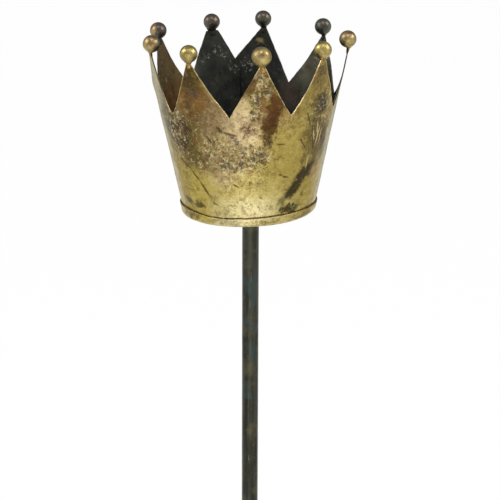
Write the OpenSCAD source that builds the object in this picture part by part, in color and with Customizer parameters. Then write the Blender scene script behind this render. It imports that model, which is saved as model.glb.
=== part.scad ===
// Crown-topped garden stake: a sheet-metal crown with a ball on each point,
// closed below by a flanged pan and screwed to the top of a round steel rod.
// The origin is where the rod enters the ground, on the rod's axis. The front is -Y.

/* [Stake] */
// Diameter of the round rod
rod_d = 8; // [5:0.5:12]
// Height of the pan's underside above the ground line
crown_height = 222; // [150:1:900]
// Length of full-diameter rod that goes below the ground line
depth_in_ground = 76; // [40:1:200]
// Length of the tapered point below that
point_length = 14; // [6:1:30]
// Diameter of the blunt end of the point
point_end_d = 1.6; // [1:0.2:4]

/* [Crown] */
// Outer diameter of the crown wall at the pan's underside
wall_base_d = 61.8; // [50:0.2:80]
// Lean of the wall outwards from the vertical, in degrees
wall_flare = 11.9; // [6:0.1:18]
// Thickness of the crown sheet
sheet = 0.7; // [0.5:0.1:1.2]
// Height of the valleys between the points
valley_height = 54; // [44:0.5:60]
// Height where the points end inside the balls
tip_height = 80.5; // [80:0.1:81]
// Average width of the points at their shoulders, under the balls
neck_w = 2.6; // [2.2:0.1:3.2]
// Length of neck that shows between a point's shoulders and its ball
neck_length = 0.5; // [0:0.1:1.5]
// How much higher the valley at the seam is, where the sheet's ends overlap
seam_valley_rise = 10.5; // [0:0.5:14]

/* [Balls] */
// Diameter of the balls
ball_d = 8; // [7.2:0.1:8.6]
// Diameter of the larger ball on the front point
front_ball_d = 8.9; // [8:0.1:9.2]
// Average height of the ball centres
ball_height = 83.5; // [83.3:0.1:83.8]
// How far the ball centres stand inside the wall's outer surface
ball_inset = 1.5; // [1:0.1:2]

/* [Pan] */
// Thickness of the pan sheet
pan_sheet = 0.7; // [0.5:0.1:1]
// Height of the pan's upturned flange
flange_height = 4.75; // [4:0.25:8]
// Outer radius of the bend between the floor and the flange
bend_r = 2.2; // [1.6:0.1:3]

/* [Fit of the crown on the rod] */
// Sideways offset of the crown from the rod
crown_shift = -0.9; // [-1.5:0.1:1.5]
// Sideways lean of the crown, in degrees
crown_lean = -0.7; // [-2:0.1:2]
// Thread diameter of the mounting screw
screw_d = 4; // [3:0.5:4]
// Length of the mounting screw under its head
screw_length = 14; // [10:1:20]

/* [Hidden] */
$fn = 96;

// The crown is cut by hand, so its points are not evenly spaced. Angles are in
// degrees from the front, turning towards +X. Valley i lies after point i.
POINT_AT = [8.4, 46.6, 84, 128.7, 170.2, 201.7, 243, 292.3, 326.5];
VALLEY_AT = [28, 69.5, 103, 151.5, 188, 222, 268, 306, 349];
// How far the edges before and after valley i are cut below straight, halfway up
HOLLOW = [
    [2, 2.4], [3.2, 5], [4.6, 2.8], [1.2, 1.3], [0, 0], [0.8, 1.6], [7.2, 4], [7.6, 3.2], [0.9, 0.5]
];
// How much wider than average point i is at its shoulders. Point 5 was left blunt.
NECK_EXTRA = [0, 0.6, -0.7, -0.5, -0.1, 3.2, 1.8, -0.5, -0.2];
// Widest neck that the braze still reaches round
MAX_NECK = 3.2;
// How much higher than average ball i sits, and how many degrees past its point's middle
BALL_LIFT = [-0.4, -0.3, -0.4, -0.7, 0.4, -0.4, -0.3, 0.5, -0.2];
BALL_TURN = [-0.4, 0, -0.7, 0.3, 0.3, 0, 1.3, 0.2, 0];
COUNT = len(POINT_AT);
FRONT_POINT = 0;
SEAM_VALLEY = 4;

// Lap seam at the back: where the sheet starts, and how far its end laps over
SEAM_AT = 184.6;
SEAM_GAP = 0.4;
LAP_ANGLE = 10;
LAP_TOP = 68;
LAP_BOTTOM = flange_height + 0.9;
SOLDER_ANGLE = 1;
SOLDER_RISE = 0.7;

// Wall radii at a height, and the sheet's thickness measured level
SLOPE = tan(wall_flare);
LEVEL_SHEET = sheet / cos(wall_flare);
LEVEL_PAN = pan_sheet / cos(wall_flare);
function wall_r(z) = wall_base_d / 2 + z * SLOPE;

// The sheet's lower edge stands where the pan's bend ends
WALL_BOTTOM = bend_r;

// Centre of the pan's bend, level with the end of the bend
BEND_CENTRE_R = wall_r(bend_r) + LEVEL_PAN - bend_r / cos(wall_flare);

// Notch cutters reach from inside the wall to outside it
CUT_FROM_R = 20;
CUT_DEPTH = 40;

// Screw, washer and the holes for them
HEAD_D = 2 * screw_d;
HEAD_H = 0.6 * screw_d;
HEAD_DOME_R = 6.4;
SLOT_W = 1;
SLOT_DEPTH = 1.1;
WASHER_D = 3 * screw_d;
WASHER_T = 0.8;
HOLE_CLEARANCE = 0.3;
TAPPED_EXTRA = 2;

// Colours
GOLD = [0.72, 0.62, 0.33];
BRONZE = [0.45, 0.37, 0.22];
CHARCOAL = [0.16, 0.17, 0.16];
STEEL = [0.6, 0.6, 0.58];

// Stands its children on the rod, at the crown's own offset and lean
module on_rod() {
    translate([crown_shift, 0, crown_height])
        rotate([0, crown_lean, 0])
            children();
}

// Turns its children so that +X points out from the crown's axis at an angle from the front
module facing(angle) {
    rotate([0, 0, angle - 90])
        children();
}

// Section that follows the wall between two heights, from one side to the other,
// both counted in sheet thicknesses out from the wall's outer surface
module wall_section(bottom, top, near, far) {
    polygon([
        [wall_r(bottom) + near * LEVEL_SHEET, bottom],
        [wall_r(bottom) + far * LEVEL_SHEET, bottom],
        [wall_r(top) + far * LEVEL_SHEET, top],
        [wall_r(top) + near * LEVEL_SHEET, top]
    ]);
}

// One turn of the sheet, without its notches
module plain_wall() {
    facing(SEAM_AT + SEAM_GAP)
        rotate_extrude(angle = 360 - SEAM_GAP)
            wall_section(WALL_BOTTOM, tip_height, -1, 0);
}

// The end of the sheet that laps over its start, on the outside
module lap() {
    facing(SEAM_AT - SEAM_GAP)
        rotate_extrude(angle = LAP_ANGLE)
            wall_section(LAP_BOTTOM, LAP_TOP, 0, 1);
}

// Half the width of point i at its shoulders, and how far its neck steps in from each
function half_w(i) = (neck_w + NECK_EXTRA[i]) / 2;
function step_in(i) = max(0.1, half_w(i) - MAX_NECK / 2);

// Diameter and centre height of ball i
function size_of(i) = i == FRONT_POINT ? front_ball_d : ball_d;
function height_of(i) = ball_height + BALL_LIFT[i];

// Height of the shoulders where point i narrows to its neck
function shoulder(i) = height_of(i) - size_of(i) / 2 - neck_length;

// How far point i's near shoulder is from the middle of a notch that is an angle away
function reach(i, angle) = wall_r(shoulder(i)) * sin(angle) - half_w(i) * cos(angle);

// Cutter for the V between point i and the next one
module notch(i) {
    at = VALLEY_AT[i];
    next = (i + 1) % COUNT;
    left = reach(i, at - POINT_AT[i]);
    right = reach(next, POINT_AT[next] - at + (next == 0 ? 360 : 0));
    low = valley_height + (i == SEAM_VALLEY ? seam_valley_rise : 0);
    left_rise = shoulder(i) - low;
    right_rise = shoulder(next) - low;
    top = tip_height - low + 1;
    facing(at)
        translate([CUT_FROM_R, 0, low])
            rotate([90, 0, 90])
                linear_extrude(height = CUT_DEPTH)
                    polygon([
                        [0, 0],
                        [right / 2, right_rise / 2 - HOLLOW[i][1]],
                        [right, right_rise],
                        [right + step_in(next), right_rise],
                        [right + step_in(next), top],
                        [-left - step_in(i), top],
                        [-left - step_in(i), left_rise],
                        [-left, left_rise],
                        [-left / 2, left_rise / 2 - HOLLOW[i][0]]
                    ]);
}

// Ball i as a plain sphere
module ball_shape(i) {
    facing(POINT_AT[i] + BALL_TURN[i])
        translate([wall_r(height_of(i)) - ball_inset, 0, height_of(i)])
            sphere(d = size_of(i));
}

module crown_band() {
    color(GOLD)
        on_rod()
            difference() {
                union() {
                    plain_wall();
                    lap();
                }
                for (i = [0:COUNT - 1]) {
                    notch(i);
                    ball_shape(i);
                }
            }
}

// Solder along the lap's outer edge
module seam_solder() {
    color(BRONZE)
        on_rod()
            facing(SEAM_AT - SEAM_GAP + LAP_ANGLE)
                rotate_extrude(angle = SOLDER_ANGLE)
                    wall_section(LAP_BOTTOM, LAP_TOP - 1, 0, SOLDER_RISE);
}

module ball(i) {
    color(GOLD)
        on_rod()
            ball_shape(i);
}

// Braze round the neck of point i, between the sheet and its ball
module ball_braze(i) {
    from = shoulder(i) - 2;
    color(BRONZE)
        on_rod()
            difference() {
                facing(POINT_AT[i])
                    translate([wall_r(from) - LEVEL_SHEET / 2, 0, from])
                        rotate([0, wall_flare, 0])
                            cylinder(h = 4, r1 = 0.9, r2 = 2.2);
                plain_wall_tip(i);
                ball_shape(i);
            }
}

// The part of the wall that point i is made of
module plain_wall_tip(i) {
    difference() {
        plain_wall();
        notch(i);
        notch((i + COUNT - 1) % COUNT);
    }
}

// Filled section of the pan, inset from its outside by a thickness
module pan_section(inset, top) {
    out = inset == 0 ? LEVEL_PAN : 0;
    r = bend_r - inset;
    polygon([
        [0, inset],
        [BEND_CENTRE_R, inset],
        [BEND_CENTRE_R + r * cos(wall_flare), bend_r - r * sin(wall_flare)],
        [wall_r(top) + out, top],
        [0, top]
    ]);
    translate([BEND_CENTRE_R, bend_r])
        circle(r = r);
}

module base_pan() {
    color(GOLD)
        on_rod()
            difference() {
                rotate_extrude()
                    pan_section(0, flange_height);
                rotate_extrude()
                    pan_section(pan_sheet, flange_height + 1);
                translate([-crown_shift, 0, -1])
                    cylinder(d = screw_d + HOLE_CLEARANCE, h = 3);
            }
}

// Solder bead in the corner between the flange's edge and the wall
module base_solder() {
    color(BRONZE)
        on_rod()
            rotate_extrude()
                polygon([
                    [wall_r(flange_height), flange_height],
                    [wall_r(flange_height) + 0.5, flange_height],
                    [wall_r(flange_height + 0.5), flange_height + 0.5]
                ]);
}

module stake_rod() {
    color(CHARCOAL)
        difference() {
            union() {
                translate([0, 0, -depth_in_ground])
                    cylinder(d = rod_d, h = depth_in_ground + crown_height + 1);
                translate([0, 0, -depth_in_ground - point_length])
                    cylinder(d1 = point_end_d, d2 = rod_d, h = point_length);
            }
            on_rod() {
                translate([-rod_d, -rod_d, 0])
                    cube([3 * rod_d, 2 * rod_d, rod_d]);
                translate([-crown_shift, 0, -screw_length - TAPPED_EXTRA])
                    cylinder(d = screw_d, h = screw_length + TAPPED_EXTRA + 1);
            }
        }
}

// Domed head, slotted for a screwdriver
module mounting_screw() {
    seat = pan_sheet + WASHER_T;
    color(STEEL)
        on_rod()
            translate([-crown_shift, 0, seat])
                difference() {
                    union() {
                        translate([0, 0, -screw_length])
                            cylinder(d = screw_d, h = screw_length);
                        intersection() {
                            cylinder(d = HEAD_D, h = HEAD_H);
                            translate([0, 0, HEAD_H - HEAD_DOME_R])
                                sphere(r = HEAD_DOME_R);
                        }
                    }
                    translate([-HEAD_D, -SLOT_W / 2, HEAD_H - SLOT_DEPTH])
                        cube([2 * HEAD_D, SLOT_W, HEAD_H]);
                }
}

module screw_washer() {
    color(STEEL)
        on_rod()
            translate([-crown_shift, 0, pan_sheet])
                difference() {
                    cylinder(d = WASHER_D, h = WASHER_T);
                    translate([0, 0, -1])
                        cylinder(d = screw_d + HOLE_CLEARANCE, h = 3);
                }
}

crown_band();
seam_solder();
base_pan();
base_solder();
for (i = [0:COUNT - 1]) {
    ball(i);
    ball_braze(i);
}
stake_rod();
mounting_screw();
screw_washer();
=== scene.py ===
"""A crown-topped stake: an antique gold sheet-metal crown cup on a dark round rod.

Lengths are in millimetres until place() turns them into the frame's metres, except in the
studio. Angles round the crown are in degrees from the front (-Y), turning towards +X.
"""

from math import atan2, cos, degrees, exp, hypot, pi, radians, sin, tan

import bpy
from mathutils import Matrix, Vector, noise


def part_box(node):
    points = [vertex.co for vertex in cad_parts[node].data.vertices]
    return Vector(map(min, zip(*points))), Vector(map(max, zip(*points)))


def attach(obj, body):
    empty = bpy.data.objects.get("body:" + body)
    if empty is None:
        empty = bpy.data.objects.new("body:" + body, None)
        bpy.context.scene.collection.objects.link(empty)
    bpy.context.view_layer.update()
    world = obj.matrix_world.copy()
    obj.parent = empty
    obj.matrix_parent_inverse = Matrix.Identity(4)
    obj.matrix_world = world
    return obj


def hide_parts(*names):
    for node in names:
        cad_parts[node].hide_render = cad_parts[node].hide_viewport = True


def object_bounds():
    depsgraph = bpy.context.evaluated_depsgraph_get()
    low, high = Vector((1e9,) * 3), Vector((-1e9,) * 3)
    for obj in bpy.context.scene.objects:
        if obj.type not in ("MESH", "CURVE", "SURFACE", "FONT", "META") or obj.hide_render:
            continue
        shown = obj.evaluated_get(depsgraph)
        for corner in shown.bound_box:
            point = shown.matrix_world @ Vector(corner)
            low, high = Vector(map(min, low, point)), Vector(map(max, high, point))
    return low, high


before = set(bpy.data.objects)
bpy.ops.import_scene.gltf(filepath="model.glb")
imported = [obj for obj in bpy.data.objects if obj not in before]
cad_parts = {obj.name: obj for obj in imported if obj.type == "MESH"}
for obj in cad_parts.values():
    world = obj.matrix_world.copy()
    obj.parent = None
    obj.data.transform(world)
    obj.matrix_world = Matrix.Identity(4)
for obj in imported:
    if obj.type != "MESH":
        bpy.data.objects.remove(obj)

scene = bpy.context.scene
cad_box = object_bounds()

# ---------------- driving dimensions
MM = 0.001
WALL_R = 30.9            # outer radius of the wall, level with the pan's underside
FLARE = radians(11.9)
SLOPE = tan(FLARE)
SHEET = 0.7
LEVEL_SHEET = SHEET / cos(FLARE)
TIP_Z = 80.5             # how high the tips run up inside their balls
FLANGE_H = 4.75          # height of the CAD's flange
BEND_R = 2.2             # outer radius of the pan's bend, where the sheet's foot stands
HOLE_R = 2.15            # the screw's clearance hole, which is on the rod's axis
LEAN = radians(-0.7)

# The cut of the crown, as in the CAD: angle of each valley, which follows the point of the
# same number, its height, and how far the edges before and after it sag below straight.
POINTS = 9
VALLEYS = [(28, 54.4, 2.0, 2.4), (69.5, 53.2, 3.0, 5.0), (103, 54.2, 4.6, 2.8),
           (151.5, 53.9, 1.2, 1.3), (188, 64.8, 0.6, 0.0), (222, 53.6, 0.8, 1.6),
           (268, 54, 7.4, 4.2), (306, 53.2, 8.0, 3.2), (349, 54.2, 0.9, 0.5)]
SEAM_VALLEY = 4
# Each point's middle in degrees past its ball's, and half its width at its shoulders. Above them
# it narrows to NECK_LIMIT, so that its braze covers it.
NECKS = [(0.4, 1.3), (0.0, 1.6), (0.7, 0.7), (-0.3, 1.0), (-0.3, 1.25), (-0.3, 3.0), (-1.7, 2.1),
         (-1.4, 1.0), (0.0, 1.2)]
NECK_LIMIT = 1.8
SHOULDER_DROP = 0.5      # from the underside of each ball to the shoulders of its point

# The sheet runs once round from its start at the back and laps over itself at its end
SEAM_START = 184.6 - 360
LAP = 9.6                # degrees
LAP_GAP = 0.06           # between the lapping layers
SEAM_END = SEAM_START + 360 + LAP
LAP_MIDDLE = 189.5       # where the flange gives way most
LAP_FOOT = 6.4           # the lapping end is cut short to clear the flange
JOGGLE = 9.0             # degrees over which the lapping end steps outwards
ARC_MM = 0.7             # millimetres along the sheet for each degree, halfway up
EDGE_ARC_MM = 0.77       # and along its upper edge
EDGE_STEP = 0.6          # degrees between the upper edge's vertices


def smooth(x):
    """0 below 0, 1 above 1, and a smooth step between."""
    x = min(1.0, max(0.0, x))
    return x * x * (3 - 2 * x)


def wall_r(z):
    return WALL_R + SLOPE * z


def wave(*seed_point, size=1.0):
    """Smooth noise from about -1 to 1."""
    return noise.noise(Vector(seed_point) / size)


# ---------------- the crown's own frame
pan_low, pan_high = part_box("base_pan")
pan_centre = (pan_low + pan_high) / 2
CROWN = (Matrix.Translation(pan_centre)
         @ Matrix.Rotation(LEAN, 4, "Y")
         @ Matrix.Translation((0, 0, -FLANGE_H / 2 * MM)))


def place(angle, r, z):
    """A point of the crown, given round its own axis, in the row frame."""
    a = radians(angle)
    return CROWN @ (Vector((r * sin(a), -r * cos(a), z)) * MM)


def outward(angle):
    """The level direction out from the crown's axis, in the row frame."""
    a = radians(angle)
    return CROWN.to_3x3() @ Vector((sin(a), -cos(a), 0))


class Ball:
    """Centre, radius and angle of a CAD ball, and the point under it."""

    def __init__(self, number):
        low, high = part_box(f"ball_{number}")
        self.centre = (low + high) / 2
        self.radius = (high - low).x / 2
        local = CROWN.inverted() @ self.centre
        self.angle = degrees(atan2(local.x, -local.y))
        self.shoulder = (local.z - self.radius) / MM - SHOULDER_DROP
        off, self.half_w = NECKS[number - 1]
        self.neck = min(self.half_w, NECK_LIMIT)
        self.point = self.angle + off


balls = [Ball(i + 1) for i in range(POINTS)]


# ---------------- mesh helpers
def new_piece(name, verts, faces, replaces, materials, sides=None):
    """A smooth-shaded mesh object that rides on the root body. Sides picks a material per face."""
    mesh = bpy.data.meshes.new(name)
    mesh.from_pydata(verts, [], faces)
    for material in materials:
        mesh.materials.append(material)
    mesh.polygons.foreach_set("use_smooth", [True] * len(mesh.polygons))
    if sides:
        mesh.polygons.foreach_set("material_index", sides)
    piece = bpy.data.objects.new(name, mesh)
    scene.collection.objects.link(piece)
    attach(piece, "root")
    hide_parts(*replaces)
    return piece


def grid_faces(columns, rows, first=0, closed=False, flip=False):
    """Quads of a grid of vertices stored column by column. Closed joins it up both ways."""
    faces = []
    for c in range(columns if closed else columns - 1):
        here, there = first + c * rows, first + (c + 1) % columns * rows
        for r in range(rows if closed else rows - 1):
            s = (r + 1) % rows
            quad = (here + r, there + r, there + s, here + s)
            faces.append(quad[::-1] if flip else quad)
    return faces


def tube_faces(rings, turns, closed=False, flip=False):
    """Quads round a tube stored ring by ring, with a cap at each end unless it is closed."""
    faces = []
    for i in range(rings if closed else rings - 1):
        low, high = i * turns, (i + 1) % rings * turns
        for j in range(turns):
            k = (j + 1) % turns
            faces.append((low + j, low + k, high + k, high + j))
    if not closed:
        faces.append(tuple(range(turns))[::-1])
        faces.append(tuple((rings - 1) * turns + j for j in range(turns)))
    return [face[::-1] for face in faces] if flip else faces


def add_attribute(piece, name, values):
    """A number or a vector for each vertex, for the materials to read."""
    kind = "FLOAT" if isinstance(values[0], float) else "FLOAT_VECTOR"
    layer = piece.data.attributes.new(name, kind, "POINT")
    if kind == "FLOAT":
        layer.data.foreach_set("value", values)
    else:
        layer.data.foreach_set("vector", [x for v in values for x in v])


def sheet_coordinates(angles_and_heights):
    """Where points lie on the unrolled sheet, in millimetres."""
    return [(angle * ARC_MM, z, 0.0) for angle, z in angles_and_heights]


# ---------------- crown sheet
def unwrapped(angle):
    """The angle, moved by whole turns to where it lies on the unrolled sheet."""
    while angle < SEAM_START:
        angle += 360
    while angle > SEAM_START + 360:
        angle -= 360
    return angle


def top_edge():
    """The sheet's cut upper edge as (angle, height) from its start to its end."""
    corners = []
    for ball in balls:
        at = unwrapped(ball.point)
        half, neck = (degrees(w / wall_r(TIP_Z)) for w in (ball.half_w, ball.neck))
        for side in (-1, 1):
            corners.append((at + side * half, ball.shoulder, None, None))
            corners.append((at + side * (neck - 0.1), ball.shoulder + 0.12, None, None))
            corners.append((at + side * (neck - 0.3), TIP_Z, None, None))
    for i, (angle, z, before, after) in enumerate(VALLEYS):
        if i != SEAM_VALLEY:
            corners.append((unwrapped(angle), z, before, after))
    seam_angle, seam_z = VALLEYS[SEAM_VALLEY][:2]
    corners.sort(key=lambda corner: corner[0])
    first, last = corners[0], corners[-1]
    start_slope = (first[1] - seam_z) / (first[0] - (seam_angle - 360))
    end_slope = (seam_z - last[1]) / (seam_angle - last[0])
    start_z = seam_z - start_slope * (seam_angle - 360 - SEAM_START)
    end_z = seam_z + end_slope * (SEAM_END - seam_angle)
    corners.insert(0, (SEAM_START, start_z, 0.0, 0.0))
    corners.append((SEAM_END, end_z, VALLEYS[SEAM_VALLEY][2], 0.0))

    line = [corners[0][:2]]
    for (a0, z0, _, after), (a1, z1, before, _) in zip(corners, corners[1:]):
        steps = max(3, round((a1 - a0) / EDGE_STEP))
        sag = before or after or 0.0
        for k in range(1, steps + 1):
            s = k / steps
            line.append((a0 + (a1 - a0) * s, z0 + (z1 - z0) * s - 4 * sag * s * (1 - s)))
    return line


def hand_cut(line):
    """Small wobbles of the snips along the edge, none at the tips' corners."""
    cut = []
    for angle, z in line:
        calm = smooth((TIP_Z - z) / 4)
        cut.append((angle + 0.22 * calm * wave(angle, z, 3, size=2.6),
                    z + 0.16 * calm * wave(angle, z, 9, size=1.4)))
    return cut


def dent(angle, z):
    """How far the hand-rolled sheet stands out from a true cone."""
    hold = smooth((z - 6) / 14) * smooth((TIP_Z - z) / 12)
    x = angle * ARC_MM
    rolling = 0.26 * wave(x, z * 0.35, 1, size=17) + 0.15 * wave(x, z, 2, size=8)
    return hold * (rolling + 0.05 * wave(x, z, 5, size=3))


def flatness(angle, z):
    """How far the points stand out at their sides, as they were rolled less than the band."""
    off = min(12, min(abs((angle - ball.point + 180) % 360 - 180) for ball in balls))
    return 0.85 * smooth((z - 55) / 16) * wall_r(z) * (1 / cos(radians(off)) - 1)


def sheet_point(angle, z, depth):
    """A point of the crown sheet, a share of its thickness in from the outer side."""
    lap = smooth((angle - (SEAM_END - LAP - JOGGLE)) / JOGGLE)
    # Below the lap's foot the flange holds the sheet in
    tucked = 0.35 + 0.65 * smooth((z - LAP_FOOT + 2) / 2)
    bulge = dent(angle, z) * (1 - lap) + dent(angle - 360, z) * lap
    thickness = LEVEL_SHEET * (1 - 0.25 * smooth((z - 58) / 14))
    r = (wall_r(z) + lap * tucked * (LEVEL_SHEET + LAP_GAP) + bulge + flatness(angle, z)
         - depth * thickness)
    return place(angle, r, z)


def sheet_foot(angle):
    """Height of the sheet's lower edge, which rests in the pan's bend except where it laps."""
    return BEND_R + (LAP_FOOT - BEND_R) * smooth(angle - (SEAM_END - LAP - 1.2))


def rim_brightness(angle):
    """1 where the cut edge is rubbed bright, and less on the front point's burnt left edge."""
    return 1.0 - 0.95 * smooth((angle + 13) / 4) * smooth((6 - angle) / 4)


def make_crown_sheet(*materials):
    rows = 66
    line = hand_cut(top_edge())
    columns = len(line)
    verts, spots = [], []
    for depth in (0.0, 1.0):
        for angle, top in line:
            foot = sheet_foot(angle)
            for r in range(rows):
                z = foot + (top - foot) * r / (rows - 1)
                verts.append(sheet_point(angle, z, depth))
                spots.append((angle, z))
    inner = columns * rows
    faces = grid_faces(columns, rows) + grid_faces(columns, rows, first=inner, flip=True)
    sides = [0] * (len(faces) // 2) + [1] * (len(faces) // 2)

    # The cut edge runs up the start, along the top, down the end and back along the bottom
    rim = ([r for r in range(rows - 1)] + [c * rows + rows - 1 for c in range(columns)]
           + [(columns - 1) * rows + r for r in range(rows - 2, -1, -1)]
           + [c * rows for c in range(columns - 2, 0, -1)])
    crest = []
    for k, v in enumerate(rim):
        before, after = spots[rim[k - 1]], spots[rim[(k + 1) % len(rim)]]
        along = Vector(((after[0] - before[0]) * EDGE_ARC_MM, after[1] - before[1]))
        along.normalize()
        angle, z = spots[v]
        bulge = 0.09
        spot = (angle - along.y * bulge / EDGE_ARC_MM, z + along.x * bulge)
        for depth in (0.2, 0.8):
            crest.append(len(verts))
            verts.append(sheet_point(*spot, depth))
            spots.append(spot)
    for k, v in enumerate(rim):
        n = (k + 1) % len(rim)
        w = rim[n]
        faces += [(v, w, crest[2 * n], crest[2 * k]),
                  (crest[2 * k], crest[2 * n], crest[2 * n + 1], crest[2 * k + 1]),
                  (crest[2 * k + 1], crest[2 * n + 1], inner + w, inner + v)]
        sides += [2, 2, 2]
    piece = new_piece("crown_sheet", verts, faces, ["crown_band"], materials, sides)
    piece.data.set_sharp_from_angle(angle=radians(38))
    add_attribute(piece, "sheet", sheet_coordinates(spots))
    add_attribute(piece, "rim", [rim_brightness(spots[v][0])
                                 if v >= 2 * inner or v % rows == rows - 1 else 0.0
                                 for v in range(len(verts))])
    return piece


# ---------------- pan and solder
# Height of the flange's edge every 30 degrees from the front, as a hand-dressed edge has it
FLANGE_EDGE = [4.45, 5.1, 5.5, 5.4, 4.8, 4.9, 5.2, 4.8, 4.9, 5.2, 5.1, 4.0]


def on_ring(angle):
    """A point on a ring of 30 mm, where noise meets itself after a whole turn."""
    a = radians(angle)
    return 30 * cos(a), 30 * sin(a)


def flange_height(angle):
    """A smooth closed curve through the flange's edge heights."""
    n = len(FLANGE_EDGE)
    x = (angle % 360) / 360 * n
    i = int(x)
    p = [FLANGE_EDGE[(i + k) % n] for k in (-1, 0, 1, 2)]
    t = x - i
    height = 0.5 * (2 * p[1] + (p[2] - p[0]) * t
                    + (2 * p[0] - 5 * p[1] + 4 * p[2] - p[3]) * t * t
                    + (3 * p[1] - p[0] - 3 * p[2] + p[3]) * t ** 3)
    spot = on_ring(angle)
    return height + 0.24 * wave(*spot, 4, size=6) + 0.14 * wave(*spot, 8, size=2.6)


def flange_gap(angle):
    """How far the flange stands off the wall, which it clears more where the sheet laps."""
    over_lap = exp(-((((angle - LAP_MIDDLE + 180) % 360) - 180) / 8) ** 2)
    return 0.07 + 0.07 * wave(*on_ring(angle), 8, size=9) + 0.55 * over_lap


def pan_profile(angle):
    """The pan's section at an angle as (radius, height), from the hole out, over and back.

    The bend is rounder to the right of the front.
    """
    height = flange_height(angle)
    gap = flange_gap(angle)
    rounder = 1.5 * smooth(cos(radians(angle - 50)))
    section = []
    for inset in (0.0, SHEET):
        bend = BEND_R + rounder - inset
        centre_z = bend + inset
        centre_r = wall_r(centre_z) + LEVEL_SHEET + gap - (bend + inset) / cos(FLARE)
        floor = [(HOLE_R + (centre_r - HOLE_R) * (k / 11) ** 0.8, inset) for k in range(12)]
        arc = [(centre_r + bend * sin(t), centre_z - bend * cos(t))
               for t in ((pi / 2 - FLARE) * k / 8 for k in range(1, 9))]
        out = gap if inset else LEVEL_SHEET + gap
        z0 = arc[-1][1]
        wall = [(wall_r(z0 + (height - z0) * k / 5) + out, z0 + (height - z0) * k / 5)
                for k in range(1, 6)]
        section.append(floor + arc + wall)
    outer, inner = section
    rounding = 0.14 * LEVEL_SHEET
    lip = [(outer[-1][0] - rounding, height + 0.1), (inner[-1][0] + rounding, height + 0.1)]
    return outer + lip + inner[::-1]


def make_pan(*materials):
    turns = 288
    to_rod = Vector((-pan_centre.x, -pan_centre.y, 0))
    verts, spots = [], []
    for c in range(turns):
        angle = 360 * c / turns
        x, y = sin(radians(angle)), cos(radians(angle))
        for r, z in pan_profile(angle):
            hammer = 0.08 * smooth((r - 6) / 8) * wave(r * x, r * y, z, size=7)
            askew = 0.011 * r * x * smooth((r - 6) / 20) * (1 - smooth((z - 1) / 2))
            centring = to_rod * (1 - smooth((r - HOLE_R) / 14))
            verts.append(place(angle, r, z + hammer * (z < 1.0) + askew) + centring)
            spots.append((angle if angle <= 180 else angle - 360, z))
    rows = len(verts) // turns
    faces = grid_faces(turns, rows, closed=True)
    sides = [0 if r < rows // 2 else 1 for c in range(turns) for r in range(rows)]
    piece = new_piece("pan_dish", verts, faces, ["base_pan"], materials, sides)
    add_attribute(piece, "sheet", sheet_coordinates(spots))
    return piece


def make_bead(name, path, radius, node, material, closed=False):
    """A lumpy bead of solder along a path; radius gives its size at each step."""
    sides = 8
    verts = []
    n = len(path)
    for k, p in enumerate(path):
        before = path[k - 1] if k or closed else p
        after = path[(k + 1) % n] if k < n - 1 or closed else p
        along = (after - before).normalized()
        out = Vector((p.x, p.y, 0)).normalized()
        across = along.cross(out).normalized()
        out = across.cross(along)
        for s in range(sides):
            t = 2 * pi * s / sides
            verts.append(p + (out * cos(t) + across * sin(t)) * radius(k) * MM)
    faces = tube_faces(n, sides, closed=closed)
    return new_piece(name, verts, faces, [node], [material])


# A bead of dark solder round the flange's edge. It is real solder, and its dark brown also paints
# the shade in the gap between flange and wall.
def make_pan_solder_and_gap_shade(material):
    steps = 360
    path, sizes = [], []
    for k in range(steps):
        angle = 360 * k / steps
        z = flange_height(angle) + 0.1
        path.append(place(angle, wall_r(z) + 0.2 + flange_gap(angle) * 0.6, z))
        uneven = 0.16 * wave(k * 0.1, 6, 0) + 0.1 * wave(k * 0.35, 3, 0)
        sizes.append(max(0.14, 0.35 + uneven + 0.08 * flange_gap(angle)))
    return make_bead("flange_solder_and_gap_shade", path, lambda k: sizes[k], "base_solder", material, closed=True)


def make_lap_solder(material):
    steps = 150
    low, high = LAP_FOOT, 58.0
    path = []
    for k in range(steps):
        z = low + (high - low) * k / (steps - 1)
        angle = SEAM_END + 0.25 + 0.1 * wave(z, 1, 1, size=3)
        path.append(place(angle, wall_r(z) + 0.22 + dent(SEAM_END - 360, z), z))

    def size(k):
        ends = smooth(k / 6) * smooth((steps - 1 - k) / 6)
        return 0.12 + ends * (0.3 + 0.2 * wave(k * 0.16, 7, 0) + 0.08 * wave(k * 0.6, 2, 0))

    return make_bead("lap_solder", path, size, "seam_solder", material)


# ---------------- balls and their braze
# How much further than halfway round each ball the dark patina reaches
PATINA = [-1.3, -1.4, -0.35, 1.3, 0.5, 0.9, 0.2, -0.25, -1.4]

# How brown each ball is, from yellow gold at 0 to purple brown at 1
TONES = [0.34, 0.0, 0.5, 0.2, 0.35, 0.6, 0.65, 0.62, 0.05]


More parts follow.
